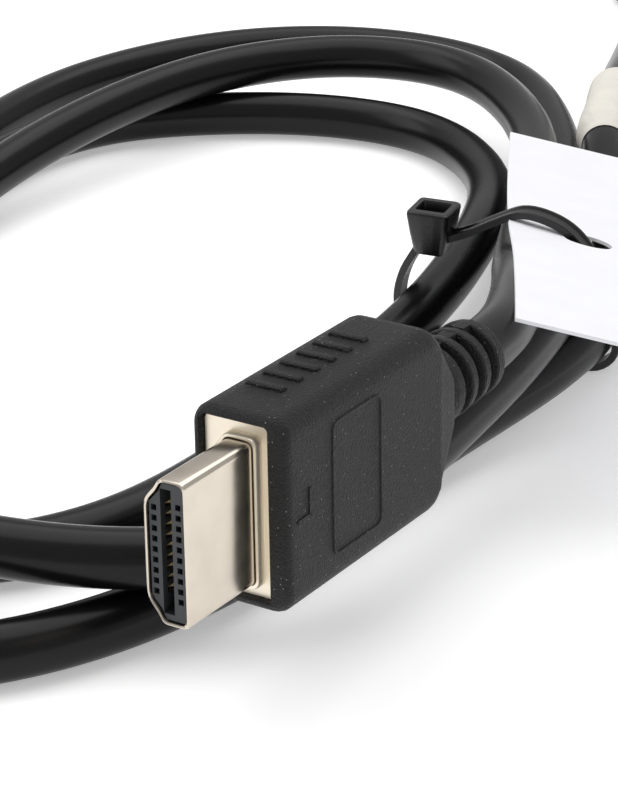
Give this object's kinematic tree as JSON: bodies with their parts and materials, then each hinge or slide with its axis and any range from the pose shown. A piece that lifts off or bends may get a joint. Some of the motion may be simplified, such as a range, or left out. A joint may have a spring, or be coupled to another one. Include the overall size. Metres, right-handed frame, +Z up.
{
  "type": "video cable",
  "caption": "Coiled round black video cable with a metal shelled multi pin plug on each end, held by a cable tie that carries a blank card tag, with paper tape near the far end",
  "frame": {"origin": "On the floor, in the middle of the object's bounding box seen from above", "axes": "+Z up. +Y runs along the long way of the coil, from the first plug to the second. +X is to the right seen with +Y ahead."},
  "size_m": [0.1472, 0.2666, 0.032],
  "materials": {
    "jacket": "semi-matte black PVC jacket",
    "overmould": "fine sand texture, black PVC",
    "nickel": "nickel plated steel, softly blurred reflections",
    "carrier": "moulded dark grey plastic",
    "gold": "gold plated contacts",
    "nylon": "smooth black nylon",
    "card": "smooth white card",
    "paper_tape": "matt off-white paper"
  },
  "bodies": {
    "root": {"cable": "jacket", "paper_tape": "paper_tape", "cable_tie": "nylon", "hang_tag": "card", "overmould_a": "overmould", "shell_a": "nickel", "flange_a": "nickel", "contact_carrier_a": "carrier", "contact_01_a": "gold", "contact_02_a": "gold", "contact_03_a": "gold", "contact_04_a": "gold", "contact_05_a": "gold", "contact_06_a": "gold", "contact_07_a": "gold", "contact_08_a": "gold", "contact_09_a": "gold", "contact_10_a": "gold", "contact_11_a": "gold", "contact_12_a": "gold", "contact_13_a": "gold", "contact_14_a": "gold", "contact_15_a": "gold", "contact_16_a": "gold", "contact_17_a": "gold", "contact_18_a": "gold", "contact_19_a": "gold", "overmould_b": "overmould", "shell_b": "nickel", "flange_b": "nickel", "contact_carrier_b": "carrier", "contact_01_b": "gold", "contact_02_b": "gold", "contact_03_b": "gold", "contact_04_b": "gold", "contact_05_b": "gold", "contact_06_b": "gold", "contact_07_b": "gold", "contact_08_b": "gold", "contact_09_b": "gold", "contact_10_b": "gold", "contact_11_b": "gold", "contact_12_b": "gold", "contact_13_b": "gold", "contact_14_b": "gold", "contact_15_b": "gold", "contact_16_b": "gold", "contact_17_b": "gold", "contact_18_b": "gold", "contact_19_b": "gold"}
  },
  "joints": []
}
